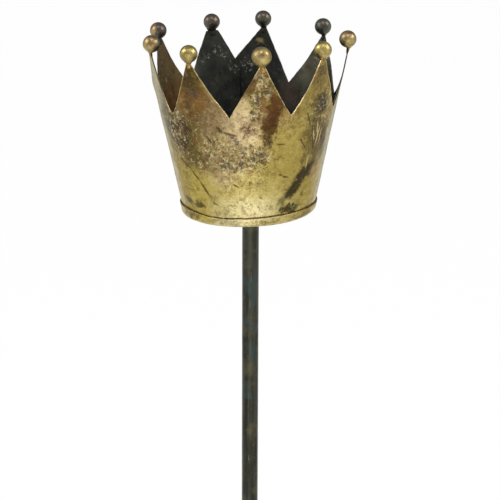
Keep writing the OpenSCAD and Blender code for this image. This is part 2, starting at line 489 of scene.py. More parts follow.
def make_ball(number, ball, material):
    """A cast ball, a little out of round, that knows which of its sides faces the cup."""
    rings, turns = 40, 64
    inward = -outward(ball.angle)
    verts, facing = [], []
    for i in range(rings + 1):
        polar = pi * i / rings
        for j in range(turns if 0 < i < rings else 1):
            t = 2 * pi * j / turns
            n = Vector((sin(polar) * cos(t), sin(polar) * sin(t),
                        cos(polar)))
            uneven = (0.010 * noise.noise(n * 1.4 + Vector((number * 5, 0, 0)))
                      + 0.004 * noise.noise(n * 5 + Vector((0, number * 7, 0))))
            verts.append(ball.centre + n * ball.radius * (1.0 + uneven))
            facing.append(n.dot(inward))

    def index(i, j):
        if i == 0:
            return 0
        if i == rings:
            return len(verts) - 1
        return 1 + (i - 1) * turns + j % turns

    faces = []
    for i in range(rings):
        for j in range(turns):
            corners = [index(i, j), index(i + 1, j), index(i + 1, j + 1), index(i, j + 1)]
            faces.append(list(dict.fromkeys(corners)))
    piece = new_piece(f"bead_{number}", verts, faces, [f"ball_{number}"], [material])
    patina, tone = PATINA[number - 1], TONES[number - 1]
    add_attribute(piece, "inward", [x + patina for x in facing])
    add_attribute(piece, "tone", [tone + 0.3 * (v - ball.centre).normalized().z for v in verts])
    return piece


def make_braze(number, ball, material):
    """The neck of braze: it runs down onto the sheet and flares a little under the ball."""
    out = outward(ball.angle)
    side = Vector((0, 0, 1)).cross(out).normalized()
    under = (place(ball.angle, wall_r(ball.shoulder), ball.shoulder) - ball.centre).normalized()
    contact = ball.centre + under * ball.radius
    front = number == 1

    def on_sheet(drop):
        z = ball.shoulder - drop
        return place(ball.point, wall_r(z) - LEVEL_SHEET / 2, z)

    # Each ring's middle, half its width along the sheet and half its depth through it
    w = ball.neck
    rings = [(on_sheet(2.6), 0.8 * w + 0.5, 0.36), (on_sheet(1.9), 0.9 * w + 0.9 * front, 0.5),
             (on_sheet(1.2), w + 0.8 * front, 0.7 + 0.25 * front), (on_sheet(0.5), w + 0.1, 0.72),
             (on_sheet(0.0), w + 0.1, 0.75), (contact.lerp(on_sheet(0.0), 0.3), w + 0.3, 0.95),
             (contact.lerp(ball.centre, 0.06), w + 0.75, 1.45),
             (contact.lerp(ball.centre, 0.35), w + 0.9, 1.9)]
    turns = 32
    verts, facing = [], []
    for i, (centre, half_w, half_d) in enumerate(rings):
        for j in range(turns):
            t = 2 * pi * j / turns
            lump = 1 + 0.13 * wave(cos(t), sin(t), i * 0.4 + number * 2, size=0.9)
            step = side * cos(t) * half_w * lump + out * sin(t) * half_d * lump
            verts.append(centre + step * MM)
            facing.append(-sin(t))
    faces = tube_faces(len(rings), turns, flip=True)
    piece = new_piece(f"neck_braze_{number}", verts, faces,
                      [f"ball_braze_{number}"], [material])
    add_attribute(piece, "inward", facing)
    rounding = piece.modifiers.new("round", "SUBSURF")
    rounding.levels = rounding.render_levels = 1
    return piece


# ---------------- rod
ROD_R = 4.0
POINT_H = 14.0           # height of the point ground at the rod's foot
TIP_R = 0.8              # radius of the point's blunt end
TIP_FACE_R = 0.55        # and of the flat inside its rounded edge
CHAMFER = 0.25           # round the rod's top


def make_rod(material):
    """Drawn bar, slightly uneven, with a chamfered top and a point ground at its foot."""
    low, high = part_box("stake_rod")
    turns = 72
    length = (high.z - low.z) / MM
    heights = [0.0, 0.5] + [POINT_H * k / 14 for k in range(1, 14)]
    heights += [POINT_H - 0.2, POINT_H + 0.2]
    heights += [POINT_H + (length - 0.7 - POINT_H) * k / 230 for k in range(1, 231)]
    heights += [length - 0.35, length - 0.05]
    verts = []
    for h in heights:
        for j in range(turns):
            t = 2 * pi * j / turns
            full = min(ROD_R, TIP_R + (ROD_R - TIP_R) * h / POINT_H)
            if h == 0.0:
                full = TIP_FACE_R
            ground = smooth((POINT_H + 1 - h) / 2)
            facet = 0.16 * ground * abs(sin(2.5 * t + 0.3 * wave(h, 0, 0, size=5)))
            draw = 0.035 * wave(cos(t) * 2, sin(t) * 2, h * 0.05, size=1)
            grain = 0.015 * wave(cos(t) * 4, sin(t) * 4, h, size=2)
            r = full - facet * full / ROD_R + (draw + grain) * full / ROD_R
            if h > length - 0.2:
                r -= CHAMFER
            verts.append(Vector((r * cos(t), r * sin(t), 0)) * MM
                         + Vector((0, 0, low.z + h * MM)))
    faces = tube_faces(len(heights), turns)
    piece = new_piece("stake_bar", verts, faces, ["stake_rod"], [material])
    piece.data.set_sharp_from_angle(angle=radians(40))
    return piece


# ---------------- materials
def srgb(text):
    """A linear colour from the usual six hex digits."""
    values = [int(text[i:i + 2], 16) / 255 for i in (0, 2, 4)]
    return tuple(v / 12.92 if v <= 0.04045 else ((v + 0.055) / 1.055) ** 2.4
                 for v in values) + (1.0,)


class Nodes:
    """A node tree built in small steps. Each step returns the socket it made."""

    def __init__(self, tree):
        self.tree = tree

    def add(self, kind, inputs=None, out=0, **settings):
        """The chosen output of a new shader node, with its inputs fed and its settings made."""
        node = self.tree.nodes.new("ShaderNode" + kind)
        for key, value in settings.items():
            setattr(node, key, value)
        for key, value in (inputs or {}).items():
            self.feed(node.inputs[key], value)
        return node.outputs[out]

    def feed(self, socket, value):
        if isinstance(value, bpy.types.NodeSocket):
            self.tree.links.new(value, socket)
        else:
            socket.default_value = value

    def math(self, operation, a, b=0.0, c=0.0, clamp=False):
        return self.add("Math", {0: a, 1: b, 2: c}, operation=operation, use_clamp=clamp)

    def step(self, value, low, high, to_low=0.0, to_high=1.0):
        return self.add("MapRange", {"Value": value, "From Min": low, "From Max": high,
                                     "To Min": to_low, "To Max": to_high},
                        interpolation_type="SMOOTHSTEP")

    def blend(self, amount, a, b):
        return self.add("Mix", {0: amount, 2: a, 3: b}, data_type="FLOAT")


class Shader(Nodes):
    """A Principled material."""

    def __init__(self, name, **settings):
        self.material = bpy.data.materials.new(name)
        self.material.use_nodes = True
        super().__init__(self.material.node_tree)
        self.output(**settings)
        metres = self.add("TexCoord", out="Object")
        self.millimetres = self.vector("MULTIPLY", metres, (1000, 1000, 1000))

    def output(self, **sockets):
        """Gives the surface's inputs, by their names in small letters, numbers or sockets."""
        inputs = self.tree.nodes["Principled BSDF"].inputs
        for key, value in sockets.items():
            self.feed(inputs[key.replace("_", " ").title().replace("Ior", "IOR")], value)
        return self.material

    def vector(self, operation, a, b):
        return self.add("VectorMath", {0: a, 1: b}, operation=operation)

    def mix(self, amount, a, b):
        return self.add("Mix", {0: amount, 6: a, 7: b}, out=2, data_type="RGBA")

    def two_tone(self, value, low, high, first, second):
        """One colour below the low limit, the other above the high one."""
        return self.mix(self.step(value, low, high), srgb(first), srgb(second))

    def cover(self, colour, tint, mask, amount=None):
        """The colour with a tint over it where the mask is 1, by the amount."""
        if amount is not None:
            mask = self.math("MULTIPLY", mask, amount)
        return self.mix(mask, colour, srgb(tint))

    def most(self, masks):
        total = masks[0]
        for mask in masks[1:]:
            total = self.math("MAXIMUM", total, mask)
        return total

    def noise(self, size, detail=2.0, roughness=0.5, shift=0.0, vector=None, out="Fac"):
        """Noise whose lumps are about size millimetres across."""
        where = self.millimetres if vector is None else vector
        if shift:
            where = self.vector("ADD", where, (shift, -shift, 0.5 * shift))
        return self.add("TexNoise", {"Vector": where, "Scale": 1.0 / size, "Detail": detail,
                                     "Roughness": roughness}, out=out)

    def specks(self, noise, density, rare, common, edge=0.05):
        """1 on the lumps of a noise. A density of 0 gives the rare limit and 1 the common one."""
        limit = self.blend(density, rare, common)
        return self.step(self.math("SUBTRACT", noise, limit), 0.0, edge)

    def stray(self, value, noise, reach):
        """A number made uneven by a noise, by up to about half the reach either way."""
        return self.math("MULTIPLY_ADD", self.math("SUBTRACT", noise, 0.5), reach, value)

    def roughness(self, noise, low, high, dull=None):
        """Roughness from low to high, and more where the surface is dull."""
        uneven = self.step(noise, 0.3, 0.7, low, high)
        return uneven if dull is None else self.math("MULTIPLY_ADD", dull, 0.2, uneven)

    def attribute(self, name, out="Vector"):
        return self.add("Attribute", out=out, attribute_name=name)

    def bump(self, height, distance_mm, strength=1.0):
        return self.add("Bump", {"Height": height, "Distance": distance_mm * MM,
                                 "Strength": strength}, out="Normal")


class Sheet(Shader):
    """A material with marks placed on the unrolled sheet by angle and height."""

    def __init__(self, name, **settings):
        super().__init__(name, **settings)
        self.flat = self.attribute("sheet")
        fine = self.noise(1.6, 4, 0.7, out="Color")
        self.spot = self.shift(self.shift(self.flat, self.noise(7, out="Color"), 6), fine, 5)
        self.steady = self.shift(self.flat, fine, 1.6)
        self.torn = self.noise(2.6, 5, 0.72, shift=31)

    def shift(self, where, noise, reach):
        """A place on the sheet, moved by up to about half the reach in millimetres."""
        off = self.vector("SUBTRACT", noise, (0.5, 0.5, 0.5))
        return self.vector("ADD", where, self.vector("MULTIPLY", off, (reach, reach, 0)))

    def ellipse(self, where, centre, halves, turn):
        """1 in the middle of an ellipse, falling to 0 at its edge."""
        dome = self.add("TexGradient", {0: where}, out="Fac", gradient_type="SPHERICAL")
        mapping = dome.node.texture_mapping
        mapping.vector_type = "TEXTURE"
        mapping.translation = (*centre, 0)
        mapping.rotation = (0, 0, turn)
        mapping.scale = (*halves, 1)
        return dome

    def scratch(self, angle0, z0, angle1, z1, half_w):
        """A long thin mark that fades at its ends."""
        x0, x1 = angle0 * ARC_MM, angle1 * ARC_MM
        length = hypot(x1 - x0, z1 - z0)
        near = self.ellipse(self.steady, ((x0 + x1) / 2, (z0 + z1) / 2),
                            (0.62 * length, 1.5 * half_w), atan2(z1 - z0, x1 - x0))
        return self.step(near, 0.05, 0.5)

    def patch(self, angle, z, half_w, half_h, turn, soft, amount, torn=0.0):
        """The amount inside an ellipse on the sheet and 0 outside it, with a ragged edge."""
        reach = 1 + soft + 0.5 * torn
        near = self.ellipse(self.spot, (angle * ARC_MM, z),
                            (half_w * ARC_MM * reach, half_h * reach), radians(turn))
        if torn:
            near = self.math("MULTIPLY_ADD", self.torn, -torn / reach, near)
        return self.step(near, 1 - (1 + soft + 0.5 * torn) / reach,
                         1 - (1 - soft + 0.5 * torn) / reach, 0.0, amount)

    def patches(self, marks):
        return self.most([self.patch(*mark) for mark in marks])

    def scratches(self, lines):
        return self.most([self.scratch(*line) for line in lines])

    def cover_all(self, colour, layers):
        """The colour with layers of marks over it. Each is a tint and its patches."""
        for tint, marks in layers:
            colour = self.cover(colour, tint, self.patches(marks))
        return colour


# Marks are (angle, height, half width in degrees, half height in mm, turn, softness, amount,
# raggedness). Later layers lie over earlier ones. Angles past 90 are on the crown's back.
# Real wear and tarnish, with some painted light: a painted highlight low on the front, and painted
# shade and a painted reflection on each side.
WEAR_AND_PAINTED_LIGHT_ZONES = [
    ("bfae68", [(0, 15, 36, 12, 0, 0.8, 0.8)]),
    # Painted highlight: these three pale layers paint the bright reflection low on the front of
    # the wall and along the flange. Fainter copies sit at the back.
    ("dccf96", [(0, 8, 24, 7, 0, 0.8, 0.9), (175, 7, 26, 5, 0, 0.8, 0.7)]),
    ("efe3ae", [(3, 9, 11, 5, 0, 0.8, 0.35)]),
    ("e6daa2", [(0, 1.5, 44, 2.8, 0, 0.7, 0.9), (-130, 2, 50, 2.6, 0, 0.7, 0.6)]),
    ("b6a242", [(-47, 16, 14, 9, 0, 0.7, 0.6)]),
    ("a8944a", [(28, 33, 15, 11, 0, 0.5, 0.9), (130, 20, 24, 12, 0, 0.7, 0.8),
        (-120, 18, 26, 12, 0, 0.7, 0.8)]),
    # Painted shade: deeper, darker gold about 60 degrees each side of the front, where the wall's
    # reflection is darker.
    ("9c872a", [(60, 18, 12, 12, 0, 0.7, 0.8), (-61, 22, 9, 12, 0, 0.7, 0.8)]),
    ("b7a23c", [(-50, 2.4, 18, 2.4, 0, 0.5, 0.8)]),
    ("b7a35c", [(26, 2.2, 20, 2.4, 0, 0.6, 0.8)]),
    ("958241", [(37, 62, 9, 12, -20, 0.6, 0.9)]),
    ("c9b389", [(-4, 50, 13, 11, 10, 0.4, 0.95), (-2, 40, 15, 8, 0, 0.5, 0.4),
        (-18, 27, 11, 6, 0, 0.6, 0.5), (-3, 60, 5, 8, 0, 0.5, 0.75),
        (140, 44, 13, 9, 0, 0.5, 0.75), (-128, 22, 16, 8, 0, 0.6, 0.6)]),
    ("8f7958", [(-23, 53, 12, 14, -20, 0.5, 0.9), (-20, 36, 15, 10, 0, 0.6, 0.7),
        (118, 60, 10, 13, 0, 0.5, 0.8), (-112, 55, 14, 12, 0, 0.5, 0.8)]),
    ("5e482a", [(8, 71, 8, 12, 0, 0.5, 0.9)]),
    ("4a3526", [(1.6, 69, 2.6, 7, -30, 0.5, 0.85)]),
    ("5f4423", [(-37, 62, 12, 13, 15, 0.5, 0.95), (-150, 50, 16, 14, 20, 0.6, 0.8),
        (170, 62, 10, 14, 0, 0.5, 0.8)]),
    ("443213", [(-34, 75, 10, 9, 0, 0.5, 0.95), (-50, 45, 15, 13, 10, 0.6, 0.95),
        (-42, 34, 13, 6, -20, 0.6, 0.8), (165, 34, 22, 14, -10, 0.6, 0.7)]),
    ("6c5c3c", [(51, 64, 8, 12, 0, 0.5, 0.3), (112, 50, 14, 14, 10, 0.6, 0.8),
        (-100, 40, 14, 18, 0, 0.6, 0.7)]),
    ("584a1e", [(53, 41, 11, 15, 10, 0.6, 0.85)]),
    ("4c4328", [(-64, 50, 7, 14, 0, 0.6, 0.9)]),
    ("75602f", [(46, 75, 6, 9, 0, 0.5, 0.85)]),
    ("8a6534", [(-42, 60, 4, 8, 8, 0.5, 0.7), (-30, 60, 5, 5, -20, 0.5, 0.6)]),
    # Painted reflection: pale grey glare near the sides' silhouettes, about 77 degrees each side
    # of the front.
    ("c3bea3", [(77, 36, 9, 24, 0, 0.8, 0.7), (-76, 66, 12, 16, 0, 0.7, 0.6),
        (-78, 34, 9, 26, 0, 0.8, 0.5), (76, 68, 9, 14, 0, 0.7, 0.5)]),
    ("a07f4c", [(58, 23, 7, 3.5, 10, 0.6, 0.6), (24, 54, 5, 4, 30, 0.5, 0.6)]),
]

# Where dark tarnish and pale flakes crowd together
TARNISHED = [
    (-50, 44, 18, 18, 0, 0.7, 1), (-24, 36, 28, 14, 0, 0.8, 0.9), (2, 34, 20, 11, 10, 0.7, 1),
    (-8, 24, 26, 9, 0, 0.8, 0.75), (2, 50, 16, 14, 0, 0.7, 0.75), (8, 70, 10, 12, 0, 0.6, 1),
    (5, 57, 5, 6, 0, 0.6, 1), (-34, 66, 13, 18, 0, 0.7, 0.85), (52, 52, 16, 24, 0, 0.7, 0.9),
    (25, 50, 10, 8, 0, 0.7, 0.7), (45, 74, 8, 10, 0, 0.6, 0.9), (-20, 52, 14, 12, 0, 0.8, 0.65),
    (0, 2, 60, 4, 0, 0.7, 0.6), (-50, 2, 24, 4, 0, 0.7, 0.7), (-4, 10, 34, 8, 0, 0.8, 0.62),
    (-52, 22, 14, 12, 0, 0.8, 0.6), (125, 45, 34, 26, 0, 0.7, 0.85),
    (175, 30, 24, 28, 0, 0.7, 0.8), (-140, 40, 38, 28, 0, 0.7, 0.85),
    (-95, 30, 20, 24, 0, 0.8, 0.6), (95, 25, 20, 20, 0, 0.8, 0.6),
]

# Where no pale flakes show
UNFLAKED = [
    (1.6, 69, 3, 7, -30, 0.5, 0.7), (-35, 70, 13, 17, 0, 0.6, 0.7), (17, 57, 6, 13, 0, 0.6, 0.8),
    (46, 70, 9, 12, 0, 0.7, 0.5), (40, 24, 8, 9, -50, 0.6, 0.6), (-44, 42, 9, 9, 0, 0.7, 0.25),
    (15, 52, 6, 8, 0, 0.5, 0.75), (53, 41, 9, 12, 10, 0.7, 0.6), (46, 24.5, 6, 9, -52, 0.5, 0.9),
    (37, 18, 6, 9, -46, 0.5, 0.9),
]

# Where close grey specks darken the gold
GREYED = [
    (-10, 31, 16, 4.6, 0, 0.6, 0.9), (6, 34.5, 9, 5, 32, 0.6, 0.95), (-4, 39, 6, 5, 0, 0.7, 0.8),
    (5.5, 63, 4.6, 4, 0, 0.5, 0.95), (-34.5, 66, 5.4, 3.4, 0, 0.6, 0.9),
    (-7, 43.5, 7, 2.4, -30, 0.6, 0.85), (9, 76, 4, 4, 0, 0.6, 0.7), (-48, 30, 7, 5, 0, 0.7, 0.6),
    (50, 47, 6, 14, 8, 0.7, 0.75), (-60, 20, 6, 8, 0, 0.7, 0.5), (28, 22, 7, 5, 0, 0.8, 0.35),
    (120, 34, 16, 7, 10, 0.7, 0.8), (-130, 30, 18, 8, -10, 0.7, 0.8),
    (170, 55, 12, 8, 0, 0.7, 0.7), (-165, 42, 9, 6, 0, 0.7, 0.8), (96, 48, 9, 8, 0, 0.7, 0.7),
]

STAINS = [
    ("cbb984", [(-15, 25.5, 5, 2, 0, 0.4, 0.7, 1.8), (-4, 27.5, 5, 1.6, 0, 0.4, 0.6, 1.8),
        (13, 65, 2.6, 3.4, -20, 0.4, 0.7, 1.8), (8, 72, 3.6, 4, 0, 0.4, 0.6, 1.8),
        (57, 51, 7, 0.9, 4, 0.5, 0.6, 0.5), (135, 28, 6, 2.2, 0, 0.4, 0.7, 1.8),
        (-152, 34, 6, 2, 0, 0.4, 0.7, 1.8), (-104, 24, 6, 2, 0, 0.4, 0.6, 1.8)]),
    ("6d4c36", [(9, 56, 7, 5, 20, 0.5, 0.7, 1.4), (2, 50, 5, 3, 0, 0.5, 0.6, 1.6)]),
    ("4c2a18", [(15.5, 52.5, 5.6, 9.5, -4, 0.25, 0.95, 1), (18.5, 62, 4.4, 6.5, 22, 0.3, 0.9, 1),
        (-1, 48.7, 3.8, 2, 0, 0.4, 0.7, 1.5), (150, 38, 4.6, 8, 8, 0.3, 0.85, 1),
        (-122, 44, 5, 7, -10, 0.3, 0.8, 1)]),
    ("352612", [(13, 42, 2.8, 4.4, 25, 0.25, 0.9, 0.9), (16, 49, 3.6, 5, 0, 0.4, 0.5, 2.2),
        (5, 56, 3.4, 2.4, 0, 0.4, 0.7, 2), (-39.5, 59, 2.8, 2.2, 0, 0.4, 0.8, 1),
        (-46, 47, 6, 2.2, 10, 0.4, 0.6, 1.6), (-44, 38, 7, 3, -20, 0.4, 0.6, 1.6)]),
    ("2b2616", [(46, 24.5, 4.8, 7.8, -52, 0.35, 0.95, 1), (37, 18, 4.6, 7.8, -46, 0.4, 0.95, 1),
        (29, 12.5, 2.8, 5, -50, 0.5, 0.6, 0.8), (51.5, 27.5, 5.2, 2.2, 6, 0.4, 0.9, 0.8),
        (42.5, 32, 1.8, 4.5, 0, 0.5, 0.6, 0.8), (-158, 22, 3.4, 8, 40, 0.4, 0.85, 1),
        (128, 18, 3.2, 7, -38, 0.4, 0.8, 1)]),
    ("302f10", [(37, 8.2, 10.5, 2.1, 5, 0.25, 0.95, 1.1), (-57, 10.6, 5.5, 1.6, 0, 0.35, 0.8, 1.6),
        (-43, 9.7, 6, 1.4, -4, 0.35, 0.8, 1.6), (46, 15, 2.4, 1, 0, 0.4, 0.7, 1),
        (162, 9, 9, 1.8, 4, 0.3, 0.85, 1.1), (-135, 8.5, 8, 1.6, -3, 0.3, 0.8, 1.1)]),
    ("23241b", [(52, 58, 6.5, 5, 0, 0.3, 0.95, 1.7), (61.5, 41, 4.2, 5, 15, 0.5, 0.75, 1),
        (65, 33, 4, 3, 0, 0.5, 0.4, 1), (112, 58, 8, 6, 0, 0.4, 0.7, 1.6),
        (-140, 58, 6, 4.5, 0, 0.3, 0.8, 1.6)]),
    ("54401c", [(-55, 3.2, 13, 1.1, 3, 0.5, 0.8, 1.8), (-20, 2.4, 16, 0.9, 0, 0.5, 0.45, 1.8),
        (15, 3.2, 14, 0.8, 3, 0.5, 0.5, 1.8), (50, 3.2, 14, 1, 0, 0.5, 0.7, 1.8),
        (140, 3, 20, 1.4, 0, 0.5, 0.6, 1.6), (-120, 3, 20, 1.4, 0, 0.5, 0.6, 1.6)]),
]

# Scratches and creases: the angle and height of each end, then half the width in mm
SCRATCHES = [
    (-57, 32, -45, 26.5, 0.55), (-46, 27, -38, 21.5, 0.5), (-39, 22.2, -31, 14.5, 0.75),
    (-20, 50, -16, 47, 1), (-17, 47.6, -6, 45.4, 0.6), (19, 41.2, 26, 40.6, 0.4),
    (25, 25.2, 31.5, 23.6, 0.45), (22.5, 26, 26, 25.2, 0.35), (36, 43, 44, 36, 0.35),
    (46, 49, 51, 34, 0.4), (53, 47, 50, 33, 0.35), (57, 47, 55, 36, 0.4), (40, 55, 45, 47, 0.35),
    (-28, 45, -22, 40, 0.4), (-12, 22, -6, 20, 0.35), (-30, 12, -24, 10.5, 0.3),
    (100, 40, 118, 34, 0.45), (140, 22, 150, 14, 0.4), (-100, 30, -112, 22, 0.45),
    (-150, 26, -141, 18, 0.4), (160, 45, 168, 38, 0.4),
]

# Pale rubs, in the same form
RUBS = [
    (51, 50, 54, 39, 0.45), (55, 47, 52, 37, 0.4), (57.5, 46, 56, 37, 0.4), (48, 46, 50, 40, 0.35),
    (47, 33, 46.5, 26, 0.4), (2, 46, 8, 43, 0.4), (108, 52, 113, 44, 0.4),
    (-136, 44, -131, 36, 0.4), (156, 50, 159, 42, 0.4),
]


def antique_gold():
    """Outside of the sheet: worn gold with tarnish, grit, scratches and stains, and a painted
    highlight, painted shade and painted reflections on the wall.
    """
    s = Sheet("antique_gold_outer", specular_ior_level=0.2)
    colour = s.two_tone(s.noise(13, 3, 0.55), 0.35, 0.65, "a08c44", "b3a056")
    colour = s.cover_all(colour, WEAR_AND_PAINTED_LIGHT_ZONES + STAINS)

    # Cloudy rubbing marks, up and down in tone, with a few longer strokes along the sheet
    unflaked = s.patches(UNFLAKED)
    pale = s.math("MULTIPLY_ADD", unflaked, -0.85, 1.0)
    cloud = s.noise(4.6, 6, 0.76)
    strokes = s.noise(1.2, 4, 0.6, vector=s.vector("MULTIPLY", s.flat, (0.22, 1.0, 1)))
    colour = s.cover(colour, "4c391a", s.step(cloud, 0.5, 0.34, 0, 0.5))
    colour = s.cover(colour, "d8c88a", s.step(cloud, 0.52, 0.68, 0, 0.42), pale)
    colour = s.cover(colour, "d8ca92", s.step(strokes, 0.56, 0.74, 0, 0.32), pale)
    colour = s.cover(colour, "665225", s.step(strokes, 0.44, 0.28, 0, 0.35))

    tarnish = s.math("MAXIMUM", s.patches(TARNISHED), 0.18)
    mottle = s.noise(1.5, 5, 0.76, shift=90)
    colour = s.cover(colour, "4a3517", s.step(mottle, 0.49, 0.36, 0, 0.6), tarnish)
    flaked = s.math("SUBTRACT", tarnish, unflaked, clamp=True)
    colour = s.cover(colour, "e0d19c", s.step(mottle, 0.53, 0.68, 0, 0.55), flaked)
    greyed = s.patches(GREYED)
    grey = s.specks(s.noise(2.0, 6, 0.8, shift=71), greyed, 0.76, 0.42, 0.09)
    colour = s.cover(colour, "524d46", grey, 0.85)
    soot = s.two_tone(s.noise(9, 2, 0.5, shift=12), 0.42, 0.58, "3a2812", "3d392b")
    clumps = s.specks(s.noise(2.9, 6, 0.8, shift=5), tarnish, 0.72, 0.50, 0.08)
    colour = s.mix(s.math("MULTIPLY", clumps, 0.72), colour, soot)
    flakes = s.specks(s.noise(2.2, 6, 0.78, shift=57), flaked, 0.70, 0.50, 0.07)
    colour = s.cover(colour, "dccb9a", flakes, 0.7)
    grit = s.specks(s.noise(1.0, 4, 0.72, shift=23), tarnish, 0.67, 0.55, 0.05)
    colour = s.cover(colour, "2f210e", grit, 0.8)
    rust = s.step(s.noise(3.4, 5, 0.72, shift=44), 0.5, 0.64, 0, 0.55)
    colour = s.cover(colour, "7c4f26", rust, tarnish)
    olive = s.step(s.noise(3.8, 5, 0.72, shift=64), 0.5, 0.64, 0, 0.5)
    colour = s.cover(colour, "6d6428", olive, tarnish)
    colour = s.cover(colour, "4a381a", s.scratches(SCRATCHES), 0.8)
    colour = s.cover(colour, "cdbb80", s.scratches(RUBS), 0.7)
    rim = s.step(s.attribute("rim", out="Fac"), 0.3, 0.9)
    rubbed = s.step(s.noise(2.5, 3, 0.6, shift=81), 0.38, 0.55, 0.25, 0.85)
    colour = s.cover(colour, "d9c48e", rim, rubbed)

    marked = s.math("MAXIMUM", clumps, grey)
    dull = s.math("MAXIMUM", s.math("MULTIPLY", tarnish, 0.55), marked)
    pits = s.math("MULTIPLY", s.math("ADD", marked, grit), -0.18)
    return s.output(base_color=colour, metallic=s.blend(dull, 0.96, 0.6),
                    roughness=s.roughness(s.noise(4, 4, 0.6, shift=9), 0.27, 0.38, dull),
                    normal=s.bump(s.math("MULTIPLY_ADD", cloud, 0.8, pits), 0.14, 0.7))


INNER_ZONES = [
    ("64522f", [(-116, 60, 19, 24, 0, 0.4, 0.95), (-98, 44, 16, 14, 0, 0.6, 0.7)]),
    ("6a4a28", [(-118, 49, 13, 9, 0, 0.6, 0.85), (-133, 52, 6, 6, 0, 0.6, 0.5)]),
    ("555240", [(131, 63, 13, 15, 0, 0.6, 0.85)]),
    ("4a3a30", [(150, 49, 7, 7, 0, 0.6, 0.6), (124, 60, 5, 6, 0, 0.6, 0.5)]),
    ("4a4234", [(80, 55, 12, 16, 0, 0.6, 0.8)]),
]

INNER_FLECKS = [
    (-163, 69, 8, 5, 0, 0.6, 1), (-151, 66, 5, 4, 0, 0.6, 1), (-166, 62, 5, 3, 0, 0.6, 0.7),
    (-172, 61, 5, 6, 0, 0.6, 1), (173, 72, 5, 3, 0, 0.6, 0.8), (179, 61, 6, 6, 0, 0.6, 1),
    (-160, 55, 14, 12, 0, 0.8, 0.5), (-171, 47, 4, 3, 0, 0.6, 0.9), (128, 66, 8, 8, 0, 0.7, 0.9),
    (-112, 62, 14, 14, 0, 0.7, 0.75), (160, 62, 10, 12, 0, 0.8, 0.5), (146, 56, 8, 8, 0, 0.8, 0.5),
    (-125, 45, 14, 12, 0, 0.8, 0.5),
]


def blackened():
    """Inside of the cup: black-green patina with pale flecks and brown bloom."""
    s = Sheet("blackened_inner")
    colour = s.two_tone(s.noise(8, 4, 0.62), 0.38, 0.66, "242622", "35372f")
    colour = s.cover_all(colour, INNER_ZONES)
    cloud = s.noise(3.4, 6, 0.76, shift=3)
    colour = s.cover(colour, "1b1d1a", s.step(cloud, 0.48, 0.36, 0, 0.5))
    colour = s.cover(colour, "5e5848", s.step(cloud, 0.54, 0.70, 0, 0.42))
    flecked = s.math("MAXIMUM", s.patches(INNER_FLECKS), 0.12)
    flecks = s.specks(s.noise(1.7, 6, 0.78, shift=41), flecked, 0.70, 0.52, 0.10)
    colour = s.cover(colour, "918e80", flecks, 0.7)
    bare = s.patch(173, 73, 3.4, 1.6, 0, 0.4, 0.7, 1.0)
    colour = s.cover(colour, "8f7f52", bare)
    seam = s.scratch(-175.2, 14, -175.2, 70, 0.5)
    colour = s.cover(colour, "0c0d0b", seam, 0.85)
    return s.output(base_color=colour, metallic=s.blend(flecks, 0.75, 0.5),
                    roughness=s.roughness(s.noise(4, 4, 0.6), 0.4, 0.58),
                    normal=s.bump(s.math("ADD", cloud, flecks), 0.12, 0.6))


def cut_edge():
    """The cut through the sheet: bright brass at the front, darker towards the back."""
    s = Shader("cut_sheet_edge", roughness=0.4, metallic=0.85)
    dull = s.step(s.noise(6, 4, 0.65), 0.42, 0.6)
    bright = s.mix(dull, srgb("dcc796"), srgb("a68f58"))
    bright = s.cover(bright, "4a371f", s.step(s.noise(1.6, 4, 0.65), 0.60, 0.70, 0, 0.7))
    rubbed = s.step(s.attribute("rim", out="Fac"), 0.1, 0.9)
    bright = s.mix(rubbed, srgb("6b5538"), bright)
    dark = s.mix(dull, srgb("4a4232"), srgb("2a2a24"))
    # Darker where the edge lies more than about 50 degrees from the front.
    across = s.add("SeparateXYZ", {0: s.attribute("sheet")})
    back = s.step(s.math("ABSOLUTE", across), 50 * ARC_MM, 66 * ARC_MM)
    return s.output(base_color=s.mix(back, bright, dark),
                    normal=s.bump(s.noise(0.6, 2), 0.05, 0.5))


def ball_metal():
    """Rubbed gold, left dark bronze where the ball faces the cup."""
    s = Shader("rubbed_ball", coat_weight=0.25, coat_roughness=0.34)
    inward = s.attribute("inward", out="Fac")
    dark = s.step(s.stray(inward, s.noise(4, 4, 0.65), 1.6), -0.05, 0.55)
    tone = s.stray(s.attribute("tone", out="Fac"), s.noise(4.5, 3, 0.6, shift=19), 1.8)
    yellow = s.two_tone(s.noise(2.6, 4, 0.62, shift=8), 0.4, 0.62, "8d7b44", "b5a566")
    brown = s.two_tone(s.noise(2.6, 4, 0.62, shift=28), 0.4, 0.62, "7c6545", "a8916a")
    gold = s.mix(s.step(tone, 0.25, 0.85), yellow, brown)
    green = s.two_tone(s.noise(3.0, 4, 0.6, shift=2), 0.4, 0.6, "3f423a", "565648")
    purple = s.two_tone(s.noise(4, 3, 0.6, shift=44), 0.5, 0.66, "564a43", "71604a")
    bronze = s.mix(s.step(tone, 0.3, 0.8), green, purple)
    colour = s.mix(dark, gold, bronze)
    pits = s.step(s.noise(1.0, 4, 0.68), 0.58, 0.68)
    colour = s.cover(colour, "3f2f1a", pits, 0.6)
    height = s.math("MULTIPLY_ADD", pits, -0.3, s.noise(1.6, 4, 0.6))
    return s.output(base_color=colour, metallic=s.blend(dark, 1.0, 0.85),
                    roughness=s.roughness(s.noise(2.2, 4, 0.6), 0.36, 0.46, pits),
                    normal=s.bump(height, 0.12, 0.7))


